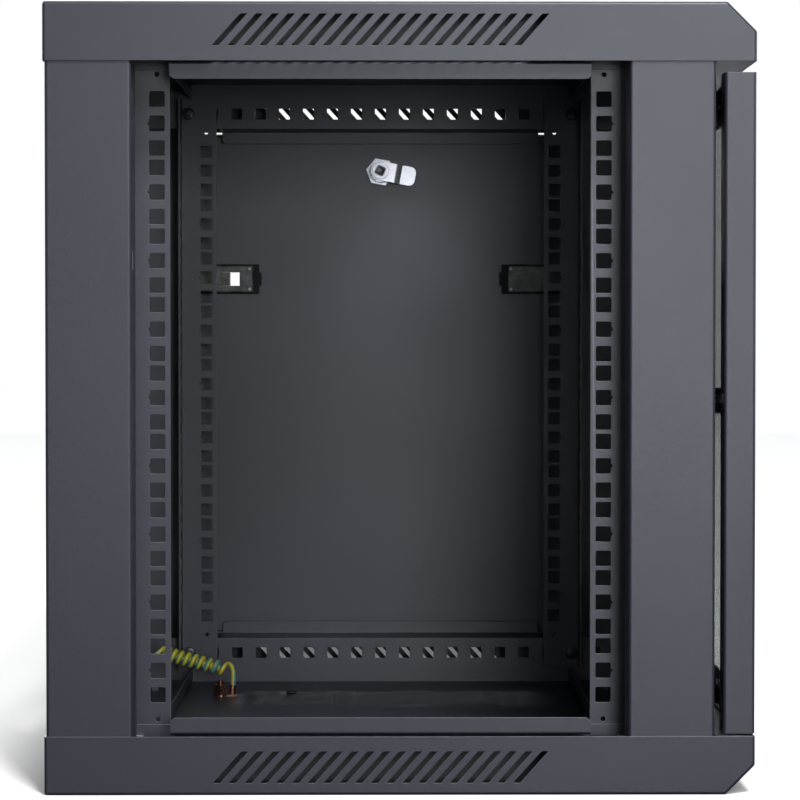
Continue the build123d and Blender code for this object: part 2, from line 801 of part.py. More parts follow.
with BuildPart() as rear_latch_bolt:
    with BuildSketch(at_level(latch_z - bolt_height / 2)):
        with BuildLine():
            Polyline(
                (bolt_outer_x, bolt_tip_y - bolt_length),
                (bolt_inner_x, bolt_tip_y - bolt_length),
                (bolt_inner_x, bolt_tip_y - bolt_nose),
                (bolt_inner_x + bolt_nose, bolt_tip_y),
                (bolt_outer_x, bolt_tip_y),
                close=True,
            )
        make_face()
        with Locations((bolt_outer_x, bolt_tip_y - bolt_length)):
            Rectangle(latch_x + sheet - thumb_recess - bolt_outer_x, thumb_length, align=Align.MIN)
    extrude(amount=bolt_height)
keep("rear_latch_bolt", rear_latch_bolt)

with BuildPart() as front_latch_bolt:
    mirror(rear_latch_bolt.part, about=front_rear)
keep("front_latch_bolt", front_latch_bolt)

# Door: a folded tray with a window, and posts for the clips that hold the glass
clip_places = []
for sign in (-1, 1):
    for z in (-clip_rise / 2, clip_rise / 2):
        clip_places.append((sign * (glass_width / 2 + clip_post_gap), door_mid_z + z, (-sign, 0, 0)))
    for x in (-clip_run / 2, clip_run / 2):
        clip_places.append((x, door_mid_z + sign * (glass_height / 2 + clip_post_gap), (0, 0, -sign)))
door_lock_x = -side_x + door_lock_inset

with BuildPart() as door_frame:
    with BuildSketch(at_level(door_bottom_z)):
        with BuildLine():
            FilletPolyline(
                (-door_x + door_return, door_rear_y),
                (-door_x, door_rear_y),
                (-door_x, front_y),
                (door_x, front_y),
                (door_x, door_rear_y),
                (door_x - door_return, door_rear_y),
                radius=bend,
            )
            offset(amount=sheet, side=Side.LEFT)
        make_face()
    extrude(amount=door_top_z - door_bottom_z)
    with BuildSketch(facing_front(front_y)):
        with Locations((0, door_mid_z)):
            RectangleRounded(window_width, window_height, bend)
        with Locations((door_lock_x, door_mid_z)):
            Circle(lock_barrel / 2 + lock_gap)
    extrude(amount=-2 * sheet, mode=Mode.SUBTRACT)
    for z in (door_bottom_z, door_top_z - sheet):
        with BuildSketch(at_level(z)):
            with Locations((0, front_y + sheet / 2)):
                Rectangle(2 * (door_x - bend), door_edge_fold, align=(Align.CENTER, Align.MIN))
            with Locations((hinge_x, hinge_y)):
                Circle(hinge_pin / 2 + lock_gap, mode=Mode.SUBTRACT)
        extrude(amount=sheet)
    with BuildSketch(facing_front(front_y + sheet)):
        for x, z, inward in clip_places:
            with Locations((x, z)):
                Circle(clip_post / 2)
    extrude(amount=-(gasket + glass + clip_sheet))
keep("door_frame", door_frame)

with BuildPart() as door_gasket:
    with BuildSketch(facing_front(front_y + sheet)):
        with Locations((0, door_mid_z)):
            Rectangle(glass_width, glass_height)
            RectangleRounded(window_width, window_height, bend, mode=Mode.SUBTRACT)
    extrude(amount=-gasket)
keep("door_gasket", door_gasket)

with BuildPart() as door_glass:
    with BuildSketch(facing_front(glass_y)):
        with Locations((0, door_mid_z)):
            Rectangle(glass_width, glass_height)
    extrude(amount=-glass)
keep("door_glass", door_glass)

glass_clips_made = []
clip_screws_made = []
for x, z, inward in clip_places:
    seat = Plane((x, clip_y, z), x_dir=inward, z_dir=(0, 1, 0))
    with BuildPart() as clip:
        with BuildSketch(seat):
            with Locations((-clip_heel, 0)):
                Rectangle(clip_length, clip_width, align=(Align.MIN, Align.CENTER))
            Circle(clip_post / 2 + lock_gap, mode=Mode.SUBTRACT)
        extrude(amount=clip_sheet)
    glass_clips_made.append(clip.part)
    with BuildPart() as clip_cap:
        with BuildSketch(seat.offset(clip_sheet)):
            Circle(clip_head / 2)
        extrude(amount=clip_head_height)
    clip_screws_made.append(clip_cap.part)
with BuildPart() as glass_clips:
    add(glass_clips_made)
keep("glass_clips", glass_clips)
with BuildPart() as clip_screws:
    add(clip_screws_made)
keep("clip_screws", clip_screws)

# Door hinge: a bracket at each end of the right edge, a fixed lower pin, a sprung upper pin
bracket_x = door_x - sheet
ear_x = bracket_x - hinge_plate
upper_block_z = door_top_z - hinge_block_inset
lower_block_z = door_bottom_z + hinge_block_inset


def hinge_bracket(low_z, rise):
    with BuildPart() as bracket:
        with BuildSketch(facing_front(front_y + bend)):
            with BuildLine():
                Polyline(
                    (ear_x - hinge_ear_reach, low_z),
                    (bracket_x, low_z),
                    (bracket_x, low_z + rise),
                    (ear_x - hinge_ear_reach, low_z + rise),
                )
                offset(amount=hinge_plate, side=Side.LEFT)
            make_face()
        extrude(amount=-hinge_block_depth)
        with BuildSketch(at_level(low_z)):
            with Locations((hinge_x, hinge_y)):
                Circle(hinge_pin / 2 + running_gap)
        extrude(amount=rise, mode=Mode.SUBTRACT)
    return bracket


upper_bracket = hinge_bracket(upper_block_z - hinge_block_rise, hinge_block_rise)
keep("upper_hinge_bracket", upper_bracket)
lower_bracket = hinge_bracket(lower_block_z, hinge_block_rise)
keep("lower_hinge_bracket", lower_bracket)

with BuildPart() as lower_hinge_pin:
    with BuildSketch(at_level(cover_height - sheet - pin_reach)):
        with Locations((hinge_x, hinge_y)):
            Circle(hinge_pin / 2)
    extrude(amount=lower_block_z + hinge_block_rise - cover_height + sheet + pin_reach)
    with BuildSketch(at_level(lower_block_z + hinge_block_rise)):
        with Locations((hinge_x, hinge_y)):
            Circle(pin_collar / 2)
    extrude(amount=pin_collar_height)
keep("lower_hinge_pin", lower_hinge_pin)

with BuildPart() as upper_hinge_pin:
    pin_foot_z = upper_block_z - hinge_block_rise - pin_tail
    collar_z = upper_block_z - hinge_plate - pin_collar_height
    with BuildSketch(at_level(pin_foot_z)):
        with Locations((hinge_x, hinge_y)):
            Circle(hinge_pin / 2)
    extrude(amount=cover_edge_z + sheet + pin_reach - pin_foot_z)
    with BuildSketch(at_level(collar_z)):
        with Locations((hinge_x, hinge_y)):
            Circle(pin_collar / 2)
    extrude(amount=pin_collar_height)
    with BuildSketch(facing_right(hinge_x)):
        with Locations((hinge_y, pin_foot_z + pin_handle / 2)):
            Circle(pin_handle / 2)
    extrude(amount=-pin_handle_reach)
keep("upper_hinge_pin", upper_hinge_pin)

with BuildPart() as upper_hinge_spring:
    with BuildSketch(at_level(upper_block_z - hinge_block_rise + hinge_plate)):
        with Locations((hinge_x, hinge_y)):
            Circle(pin_collar / 2)
            Circle(hinge_pin / 2 + bolt_clearance, mode=Mode.SUBTRACT)
    extrude(amount=hinge_block_rise - 2 * hinge_plate - pin_collar_height)
keep("upper_hinge_spring", upper_hinge_spring)

with BuildPart() as hinge_thrust_washer:
    with BuildSketch(at_level(cover_height)):
        with Locations((hinge_x, hinge_y)):
            Circle(hinge_washer / 2)
            Circle(hinge_pin / 2 + running_gap, mode=Mode.SUBTRACT)
    extrude(amount=hinge_washer_height)
keep("hinge_thrust_washer", hinge_thrust_washer)


# Cam locks: the seat is on the sheet's outer face, its normal inward, its x along the cam
def cam_lock(prefix, seat, plug_length):
    barrel_length = plug_length - cam_crank - barrel_clearance
    with BuildPart() as housing:
        with BuildSketch(seat):
            Circle(lock_head / 2)
        extrude(amount=-lock_head_height)
        crown = housing.faces().sort_by(Axis(seat.origin, seat.z_dir))[0]
        fillet(crown.edges(), lock_head_round)
        with BuildSketch(seat):
            Circle(lock_barrel / 2)
        extrude(amount=barrel_length)
        with BuildSketch(seat.offset(-lock_head_height)):
            Circle(lock_plug / 2 + running_gap)
        extrude(amount=barrel_length + lock_head_height, mode=Mode.SUBTRACT)
    keep(prefix + "_housing", housing)

    with BuildPart() as ring_nut:
        add(nut(seat.offset(sheet), lock_nut, lock_nut_height, lock_barrel + 2 * lock_gap))
    keep(prefix + "_nut", ring_nut)

    with BuildPart() as plug:
        with BuildSketch(seat.offset(-lock_head_height)):
            Circle(lock_plug / 2)
        extrude(amount=plug_length + lock_head_height)
        with BuildSketch(seat.offset(-lock_head_height)):
            Rectangle(key_length, key_width)
        extrude(amount=key_depth, mode=Mode.SUBTRACT)
        with BuildSketch(seat.offset(plug_length)):
            Rectangle(lock_spigot, lock_spigot)
        extrude(amount=cam_sheet)
    keep(prefix + "_plug", plug)

    across = Plane(seat.origin, x_dir=seat.x_dir, z_dir=-seat.y_dir)
    with BuildPart() as cam:
        with BuildSketch(across.offset(-cam_width / 2)):
            with BuildLine():
                FilletPolyline(
                    (-cam_width, plug_length),
                    (cam_bend_start, plug_length),
                    (cam_bend_end, plug_length - cam_crank),
                    (cam_length + cam_width, plug_length - cam_crank),
                    radius=cam_sheet / 2,
                )
                offset(amount=cam_sheet, side=Side.LEFT)
            make_face()
        extrude(amount=cam_width)
        with BuildSketch(seat.offset(plug_length - cam_crank - cam_sheet)) as outline:
            Circle(cam_width / 2)
            with Locations((cam_length / 2, 0)):
                Rectangle(cam_length, cam_width)
            fillet(outline.vertices().group_by(Axis.X)[-1], cam_tip_round)
            Rectangle(lock_spigot + lock_gap, lock_spigot + lock_gap, mode=Mode.SUBTRACT)
        extrude(amount=cam_crank + 3 * cam_sheet, mode=Mode.INTERSECT)
    keep(prefix + "_cam", cam)

    with BuildPart() as cam_bolt:
        with BuildSketch(seat.offset(plug_length + cam_sheet)):
            Circle(cam_bolt_head / 2)
        extrude(amount=cam_bolt_height)
        with BuildSketch(seat.offset(plug_length + cam_sheet + cam_bolt_height)):
            RegularPolygon(cam_bolt_hex / 2, 6, major_radius=False)
        extrude(amount=cam_bolt_hex_height)
    keep(prefix + "_cam_bolt", cam_bolt)


door_lock_seat = Plane((door_lock_x, front_y, door_mid_z), x_dir=(0, 0, 1), z_dir=(0, 1, 0))
cam_lock("door_lock", door_lock_seat, frame_front_y + sheet + cam_clearance + cam_crank - front_y)

sag = radians(side_cam_sag)
side_lock_seat = Plane(
    (column_x, frame_mid_y, side_lock_z), x_dir=(0, -cos(sag), -sin(sag)), z_dir=(-1, 0, 0)
)
cam_lock("side_lock", side_lock_seat, column_x - lip_x + rail_sheet + cam_clearance + cam_crank)

# Earth lead: a stud on the floor and one on the back panel, ring lugs, and the coiled wire
lead_shift = frame_rear_y - lead_back_y
floor_stud_seat = Plane((earth_x, earth_floor_y + lead_shift, sheet))
back_stud_seat = Plane((earth_x, frame_rear_y, earth_back_z), z_dir=(0, -1, 0))
earth_nuts_made = [
    nut(seat.offset(lug_sheet), earth_nut, earth_nut_height, earth_stud + 2 * lug_gap)
    for seat in (floor_stud_seat, back_stud_seat)
]
with BuildPart() as earth_studs:
    for seat in (floor_stud_seat, back_stud_seat):
        with BuildSketch(seat):
            Circle(earth_stud / 2)
        extrude(amount=earth_stud_length)
keep("earth_studs", earth_studs)
with BuildPart() as earth_nuts:
    add(earth_nuts_made)
keep("earth_nuts", earth_nuts)

floor_tail = [(161.0, 130.9, 10.0), (161.0, 130.5, 14.0), (161.0, 130.5, 20.88), coil_start]
back_tail = [
    coil_end,
    (161.0, 197.5, 38.3),
    (161.0, 208.5, 37.6),
    (161.0, 217.0, 39.6),
    (161.0, 220.9, 45.6),
    (161.0, 220.9, 52.6),
]


def from_back(points):
    return [(x, y + lead_shift, z) for x, y, z in points]


def lug(seat, tongue_length, wire_end, wire_before):
    """Ring lug: the ring lies on the seat, its tongue along x, its barrel up to the wire's end."""
    barrel_dir = Vector(*wire_end) - Vector(*wire_before)
    with BuildPart() as piece:
        with BuildSketch(seat):
            Circle(lug_ring / 2)
            Rectangle(tongue_length, lug_tongue, align=(Align.MIN, Align.CENTER))
            Circle(earth_stud / 2 + lug_gap, mode=Mode.SUBTRACT)
        extrude(amount=lug_sheet)
        with BuildSketch(Plane(wire_end, z_dir=barrel_dir)):
            Circle(lug_barrel / 2)
        extrude(amount=lug_barrel_length)
    return piece


def tube_radii(points):
    radii = []
    for before, here, after in zip(points, points[1:], points[2:]):
        a = Vector(*here) - Vector(*before)
        b = Vector(*after) - Vector(*here)
        radii.append(0.45 * min(a.length, b.length) / tan(radians(a.get_angle(b) / 2)))
    return radii


def tube(points):
    with BuildPart() as piece:
        with BuildLine():
            route = FilletPolyline(*points, radius=tube_radii(points))
        with BuildSketch(Plane(route @ 0, z_dir=route % 0)):
            Circle(lead / 2)
        sweep(path=route)
    print("lead radii", [round(r, 1) for r in tube_radii(points)], "length", round(route.length, 1))
    wire_volume = pi * lead**2 / 4 * route.length
    print("lead volume", round(piece.part.volume, 1), "section by length", round(wire_volume, 1))
    return piece


floor_route = from_back(floor_tail)
back_route = from_back(back_tail)
keep("earth_lead_floor_tail", tube(floor_route))
keep("earth_lead_back_tail", tube(back_route))
coil_run = Vector(*back_route[0]) - Vector(*floor_route[-1])
with BuildPart() as earth_lead_coil:
    with BuildSketch(Plane(floor_route[-1], z_dir=coil_run)):
        Circle(lead_coil / 2)
    extrude(amount=coil_run.length)
keep("earth_lead_coil", earth_lead_coil)

floor_tongue = floor_stud_seat.origin.Y - floor_route[0][1] + lug_tongue / 2
floor_lug_seat = Plane(floor_stud_seat.origin, x_dir=(0, -1, 0), z_dir=(0, 0, 1))
keep("floor_lug", lug(floor_lug_seat, floor_tongue, floor_route[0], floor_route[1]))
back_tongue = earth_back_z - back_route[-1][2] - lug_tongue / 2
back_lug_seat = Plane(back_stud_seat.origin, x_dir=(0, 0, -1), z_dir=(0, -1, 0))
keep("back_lug", lug(back_lug_seat, back_tongue, back_route[-1], back_route[-2]))

os.makedirs("parts", exist_ok=True)
for name, part in finished.items():
    export_step(part, "parts/" + name + ".step")
print(len(finished), "pieces written")
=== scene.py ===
import json
import math

import bpy
import numpy as np
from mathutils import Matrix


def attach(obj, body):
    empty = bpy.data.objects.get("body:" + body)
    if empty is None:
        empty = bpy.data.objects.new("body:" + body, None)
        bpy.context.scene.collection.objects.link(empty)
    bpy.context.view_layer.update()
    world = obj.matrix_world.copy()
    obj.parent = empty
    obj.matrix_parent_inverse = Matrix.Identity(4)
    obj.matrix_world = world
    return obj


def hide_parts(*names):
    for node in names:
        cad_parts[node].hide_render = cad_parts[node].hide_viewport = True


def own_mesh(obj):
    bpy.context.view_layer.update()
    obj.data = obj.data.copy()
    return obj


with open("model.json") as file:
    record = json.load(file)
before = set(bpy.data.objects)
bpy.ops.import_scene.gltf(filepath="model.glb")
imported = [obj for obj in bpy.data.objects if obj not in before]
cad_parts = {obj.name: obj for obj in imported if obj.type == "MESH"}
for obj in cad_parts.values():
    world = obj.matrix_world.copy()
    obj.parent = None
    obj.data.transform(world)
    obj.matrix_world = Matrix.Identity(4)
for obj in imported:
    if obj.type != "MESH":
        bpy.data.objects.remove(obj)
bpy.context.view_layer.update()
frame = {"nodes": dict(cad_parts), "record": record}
nodes = frame["nodes"]
print("frame loaded,", len(nodes), "nodes")

# where the photograph was taken from: 800 pixel frame, level, facing the open left side
shot = {
    "place": (-1.984, 0.0126, 0.2905),
    "lens": 120.2,
    "sensor": 36.0,
    "turn": -0.43,  # degrees, towards the door
    "dip": -1.37,  # degrees, below level
    "farthest": 50,  # clipping distance
}


def placeCamera():
    data = bpy.data.cameras.new("shotCamera")
    data.lens = shot["lens"]
    data.sensor_width = shot["sensor"]
    data.clip_end = shot["farthest"]
    camera = bpy.data.objects.new("shotCamera", data)
    camera.location = shot["place"]
    tilt, heading = 90 + shot["dip"], -90 + shot["turn"]  # level and along +X, but for the dip and turn
    camera.rotation_euler = (math.radians(tilt), 0, math.radians(heading))
    bpy.context.scene.collection.objects.link(camera)
    bpy.context.scene.camera = camera


placeCamera()
print("camera placed")


class Tap:
    # one output of a shader node; plain operators on it add Math nodes
    def __init__(self, tree, socket):
        self.tree = tree
        self.socket = socket

    def node(self, kind, settings=None, values=None, out=0):
        made = self.tree.nodes.new(kind)
        for key, value in (settings or {}).items():
            setattr(made, key, value)
        for key, value in (values or {}).items():
            if isinstance(value, Tap):
                self.tree.links.new(value.socket, made.inputs[key])
            else:
                made.inputs[key].default_value = value
        return Tap(self.tree, made.outputs[out])

    def maths(self, operation, first, second):
        return self.node("ShaderNodeMath", {"operation": operation}, {0: first, 1: second})

    def __add__(self, other):
        return self.maths("ADD", self, other)

    def __sub__(self, other):
        return self.maths("SUBTRACT", self, other)

    def __rsub__(self, other):
        return self.maths("SUBTRACT", other, self)

    def __mul__(self, other):
        return self.maths("MULTIPLY", self, other)

    def __rmul__(self, other):
        return self.maths("MULTIPLY", other, self)

    def __gt__(self, other):
        return self.maths("GREATER_THAN", self, other)


def grey(value):
    return (value, value, value, 1)


def newMaterial(name):
    # a bare finish, with the place on the object to vary it by
    material = bpy.data.materials.new(name)
    material.use_nodes = True
    tree = material.node_tree
    tree.nodes.clear()
    surface = tree.nodes.new("ShaderNodeBsdfPrincipled")
    output = tree.nodes.new("ShaderNodeOutputMaterial")
    tree.links.new(surface.outputs[0], output.inputs[0])
    coords = tree.nodes.new("ShaderNodeTexCoord")
    return material, surface, Tap(tree, coords.outputs["Object"])


def feed(surface, name, tap):
    tap.tree.links.new(tap.socket, surface.inputs[name])


def noise(place, scale, detail=2.0, rough=0.5):
    values = {"Vector": place, "Scale": scale, "Detail": detail, "Roughness": rough}
    return place.node("ShaderNodeTexNoise", None, values)


noiseSpan = (0.3, 0.7)  # where most of a noise's values lie


def spread(tap, low, high, toLow, toHigh):
    # one span of values carried straight onto another, and held at both ends
    values = {"Value": tap, "From Min": low, "From Max": high, "To Min": toLow, "To Max": toHigh}
    return tap.node("ShaderNodeMapRange", {"clamp": True}, values)


def soften(tap, low, high):
    # falls from one to none between two values, easing in and out
    values = {"Value": tap, "From Min": low, "From Max": high, "To Min": 1, "To Max": 0}
    return tap.node("ShaderNodeMapRange", {"interpolation_type": "SMOOTHSTEP"}, values)


def mixColour(factor, first, second):
    # the first colour at a factor of none, the second at one
    return factor.node("ShaderNodeMix", {"data_type": "RGBA"}, {0: factor, 6: first, 7: second}, 2)


def bump(height, strength, distance, under=None):
    # the normal leans with the slope of the height, on top of the normal under it
    values = {"Height": height, "Strength": strength, "Distance": distance}
    if under:
        values["Normal"] = under
    return height.node("ShaderNodeBump", None, values)


coat = {
    "colour": (0.0190, 0.0200, 0.0275, 1),
    "fleck": (0.053, 0.056, 0.074, 1),
    "pit": (0.0090, 0.0096, 0.0155, 1),
    "edge": 0.0006,  # rounding of the sheet's edges, as light sees it, and the width of the painted edge highlight
    "edgeHighlight": (0.16, 0.165, 0.19, 1),  # painted highlight along the sheet's edges
    "grain": 2400,  # waves a metre: half a millimetre, as the fine textured coat is
    "broad": 9,
    "gloss": (0.33, 0.44),
}
raySamples = 4  # for rounded edges and painted shade
edgeLean = (0.985, 0.85)  # cosine of the lean at which an edge starts and is full
shadeSpan = (0.25, 0.8)  # open share of the view at which the painted shade is full and ends


def roundEdge(place, radius):
    return place.node("ShaderNodeBevel", {"samples": raySamples}, {"Radius": radius})


def roundedEdges(place, radius):
    # the rounded normal, and how far it leans away from the flat one: none off the edges, full on them
    rounded = roundEdge(place, radius)
    flat = place.node("ShaderNodeNewGeometry", None, None, "Normal")
    lean = place.node("ShaderNodeVectorMath", {"operation": "DOT_PRODUCT"}, {0: rounded, 1: flat}, "Value")
    return rounded, spread(lean, *edgeLean, 0, 1)


def paintedShade(place, reach):
    # painted shade, dark where another surface stands close: full where most of the view within reach is
    # blocked
    clear = place.node("ShaderNodeAmbientOcclusion", {"samples": raySamples}, {"Distance": reach}, "AO")
    return spread(clear, *shadeSpan, 1, 0)


def powderCoat():
    material, surface, place = newMaterial("powderCoat")
    grain = noise(place, coat["grain"], 3, 0.6)
    broad = noise(place, coat["broad"], 2)
    colour = mixColour(spread(grain, 0.42, 0.30, 0, 0.7), coat["colour"], coat["pit"])
    colour = mixColour(spread(grain, 0.60, 0.78, 0, 0.7), colour, coat["fleck"])
    colour = mixColour(spread(broad, *noiseSpan, 0, 0.14), colour, coat["pit"])
    rounded, edge = roundedEdges(place, coat["edge"])
    # painted highlight: lighter along the sheet's edges, where the rounded normal leans away from the flat
    # one
    colour = mixColour(0.7 * edge, colour, coat["edgeHighlight"])
    feed(surface, "Base Color", colour)
    feed(surface, "Roughness", spread(grain + 0.4 * broad, 0.4, 1.0, *coat["gloss"]))
    feed(surface, "Normal", bump(grain, 0.35, 0.0003, rounded))
    surface.inputs["Specular IOR Level"].default_value = 0.5
    return material


zinc = {
    "dark": (0.34, 0.35, 0.37, 1),
    "light": (0.60, 0.61, 0.63, 1),
    # colour of the painted shade where other surfaces stand close
    "shadeColour": (0.02, 0.02, 0.022, 1),
    "shadeReach": 0.008,
    "edge": 0.0004,
    "cloud": 160,
    "brush": 1400,
}


def zincPlate():
    material, surface, place = newMaterial("zincPlate")
    cloud = noise(place, zinc["cloud"], 4, 0.6)
    brush = noise(place, zinc["brush"], 2)
    shade = spread(cloud + 0.3 * brush, 0.4, 0.9, 0, 1)
    colour = mixColour(shade, zinc["dark"], zinc["light"])
    # painted shade: darker where other surfaces stand close, as in the gaps round nuts and flanges
    feed(surface, "Base Color", mixColour(paintedShade(place, zinc["shadeReach"]), colour, zinc["shadeColour"]))
    feed(surface, "Roughness", spread(cloud + 0.5 * brush, 0.5, 1.1, 0.30, 0.48))
    feed(surface, "Normal", bump(brush, 0.15, 0.0002, roundEdge(place, zinc["edge"])))
    surface.inputs["Metallic"].default_value = 1.0
    return material


lockFace = {"dark": (0.30, 0.30, 0.32, 1), "light": (0.42, 0.42, 0.44, 1), "haze": 420}


def lockMetal():
    material, surface, place = newMaterial("lockMetal")
    haze = noise(place, lockFace["haze"], 3)
    shade = spread(haze, *noiseSpan, 0, 1)
    feed(surface, "Base Color", mixColour(shade, lockFace["dark"], lockFace["light"]))
    feed(surface, "Roughness", spread(haze, *noiseSpan, 0.18, 0.32))
    surface.inputs["Metallic"].default_value = 1.0
    return material


oxide = {"dark": (0.008, 0.008, 0.010, 1), "worn": (0.03, 0.03, 0.034, 1), "wear": 700}


def blackScrew():
    material, surface, place = newMaterial("blackScrew")
    wear = noise(place, oxide["wear"], 3)
    feed(surface, "Base Color", mixColour(spread(wear, 0.55, 0.75, 0, 1), oxide["dark"], oxide["worn"]))
    feed(surface, "Roughness", spread(wear, *noiseSpan, 0.28, 0.42))
    feed(surface, "Normal", bump(wear, 0.15, 0.0002))
    surface.inputs["Specular IOR Level"].default_value = 0.6
    return material


latchPlastic = {
    "dark": (0.032, 0.031, 0.029, 1),
    "light": (0.125, 0.119, 0.105, 1),
    "speck": (0.24, 0.23, 0.20, 1),
    # near black of the base plate and bolts, also the colour of the painted shade
    "base": (0.003, 0.003, 0.004, 1),
    "baseFrom": 0.2915,  # X past which the base plate and the bolts are plain black
    "pin": (0.45, 0.45, 0.44, 1),
    "pinTo": 0.28532,  # X up to which the two pins stand out
    "grain": 1300,
    "cloud": 110,
    "shadeReach": 0.0025,
    "edge": 0.0004,
}


def blackPlastic():
    material, surface, place = newMaterial("blackPlastic")
    grain = noise(place, latchPlastic["grain"], 3, 0.6)
    cloud = noise(place, latchPlastic["cloud"], 3, 0.6)
    colour = mixColour(spread(cloud, 0.35, 0.65, 0, 1), latchPlastic["dark"], latchPlastic["light"])
    colour = mixColour(spread(grain, 0.60, 0.72, 0, 0.8), colour, latchPlastic["speck"])
    outward = place.node("ShaderNodeSeparateXYZ", None, {0: place})
    deep = outward > latchPlastic["baseFrom"]
    # painted shade: near black where other surfaces stand close
    colour = mixColour(paintedShade(place, latchPlastic["shadeReach"]), colour, latchPlastic["base"])
    colour = mixColour(deep, colour, latchPlastic["base"])
    pin = 1 - (outward > latchPlastic["pinTo"])
    feed(surface, "Base Color", mixColour(pin, colour, latchPlastic["pin"]))
    feed(surface, "Roughness", spread(grain, *noiseSpan, 0.38, 0.56) + 0.3 * deep)
    feed(surface, "Normal", bump(grain, 0.35, 0.0003, roundEdge(place, latchPlastic["edge"])))
    return material


glass = {"tint": (0.52, 0.56, 0.55, 1), "clear": (0.56, 0.60, 0.59, 1), "smear": 14}


def tintedGlass():
    material, surface, place = newMaterial("tintedGlass")
    smear = noise(place, glass["smear"], 4, 0.6)
    feed(surface, "Base Color", mixColour(spread(smear, *noiseSpan, 0, 1), glass["tint"], glass["clear"]))
    feed(surface, "Roughness", spread(smear, 0.4, 0.8, 0.0, 0.05))
    surface.inputs["Transmission Weight"].default_value = 1.0
    surface.inputs["IOR"].default_value = 1.5
    return material


foam = {"dark": grey(0.012), "light": grey(0.03), "cells": 1500, "cellSpan": (0, 0.7)}


def gasketFoam():
    material, surface, place = newMaterial("gasketFoam")
    cells = place.node("ShaderNodeTexVoronoi", None, {"Vector": place, "Scale": foam["cells"]})
    shade = spread(cells, *foam["cellSpan"], 0, 1)
    feed(surface, "Base Color", mixColour(shade, foam["dark"], foam["light"]))
    feed(surface, "Roughness", spread(cells, *foam["cellSpan"], 0.8, 0.95))
    feed(surface, "Normal", bump(cells, 0.5, 0.0003))
    return material


brass = {"bright": (0.42, 0.22, 0.16, 1), "dull": (0.14, 0.07, 0.05, 1), "tarnish": 380}


def copperBrass():
    material, surface, place = newMaterial("copperBrass")
    tarnish = noise(place, brass["tarnish"], 4, 0.6)
    feed(surface, "Base Color", mixColour(spread(tarnish, 0.4, 0.7, 0, 1), brass["bright"], brass["dull"]))
    feed(surface, "Roughness", spread(tarnish, *noiseSpan, 0.22, 0.45))
    surface.inputs["Metallic"].default_value = 1.0
    return material


def leadSheath():
    # two colours by the angle round the wire, which shifts evenly along it, with an extra shift that fades
    # from the floor end
    material, surface, place = newMaterial("leadSheath")
    along = place.node("ShaderNodeTexCoord", None, None, "UV")
    along = along.node("ShaderNodeSeparateXYZ", None, {0: along})
    around = Tap(along.tree, along.socket.node.outputs["Y"])
    loose = along.maths("POWER", 1 - along, wire["stripeFade"])
    turned = around + along * wire["stripeTurns"] + wire["stripeStart"] + wire["stripeLoose"] * loose
    side = turned.maths("FRACT", turned, 0.0)
    scuff = noise(place, wire["scuff"], 2)
    colour = mixColour(side > wire["yellowShare"], wire["yellow"], wire["green"])
    colour = mixColour(spread(scuff, 0.5, 0.8, 0, 0.25), colour, wire["shade"])
    feed(surface, "Base Color", colour)
    feed(surface, "Roughness", spread(scuff, *noiseSpan, 0.30, 0.42))
    feed(surface, "Normal", bump(scuff, 0.06, 0.0002))
    return material


def paleFloor():
    # the floor glows white into the backdrop, less a painted shadow near the cabinet: one less a share of
    # the product of two falls, by distance from the middle and by distance towards the cabinet's front or
    # rear
    material, surface, place = newMaterial("paleFloor")
    patch = noise(place, studio["floorPatch"], 2)
    feed(surface, "Base Color", mixColour(patch, studio["floorDark"], studio["floorLight"]))
    away = place.node("ShaderNodeVectorMath", {"operation": "LENGTH"}, {0: place}, "Value")
    split = place.node("ShaderNodeSeparateXYZ", None, {0: place}, "Y")
    aside = split.maths("ABSOLUTE", split, 0.0)
    # painted shadow on the floor under and near the cabinet: the glow falls away within the ring and
    # between the sides
    dark = soften(away, *studio["glowRing"]) * soften(aside, *studio["glowSides"])
    glow = 1 - studio["shadow"] * dark
    feed(surface, "Emission Color", mixColour(glow, grey(0.0), grey(1.0)))
    surface.inputs["Emission Strength"].default_value = studio["floorGlow"]
    surface.inputs["Roughness"].default_value = studio["floorRough"]
    return material


# earth lead between the floor stud and the back panel, route in metres
wire = {
    "diameter": 0.0036,
    "coilOver": 0.0124,
    "turns": 9,
    "pointsPerTurn": 16,
    "loosen": 0.16,  # share by which the turns open towards the floor end
    "length": 0.325,
    "floorTail": [
        (0.1610, 0.1309, 0.0100),
        (0.1612, 0.1305, 0.0145),
        (0.1635, 0.1306, 0.0196),
        (0.1662, 0.1318, 0.0242),
        (0.1652, 0.1344, 0.0266),
    ],
    "coilStart": (0.161, 0.1375, 0.0227),
    "coilEnd": (0.161, 0.1875, 0.0357),
    "backTail": [
        (0.1572, 0.1872, 0.0397),
        (0.1550, 0.1896, 0.0374),
        (0.1556, 0.1940, 0.0342),
        (0.1576, 0.2005, 0.0324),
        (0.1600, 0.2085, 0.0342),
        (0.1610, 0.2162, 0.0384),
        (0.1610, 0.2205, 0.0448),
        (0.1610, 0.2209, 0.0526),
    ],
    "yellow": (0.50, 0.47, 0.045, 1),
    "green": (0.10, 0.27, 0.25, 1),
    "shade": (0.16, 0.17, 0.03, 1),
    "yellowShare": 0.62,
    "stripeTurns": 2.07,  # as the coil turns the wire, so one side of it stays outermost
    "stripeStart": 0.88,
    "stripeLoose": 1.4,  # extra turns at the floor end
    "stripeFade": 8,  # power by which they fade along the wire
    "scuff": 500,
    "stepsAlong": 4,
    "stepsAround": 5,
}


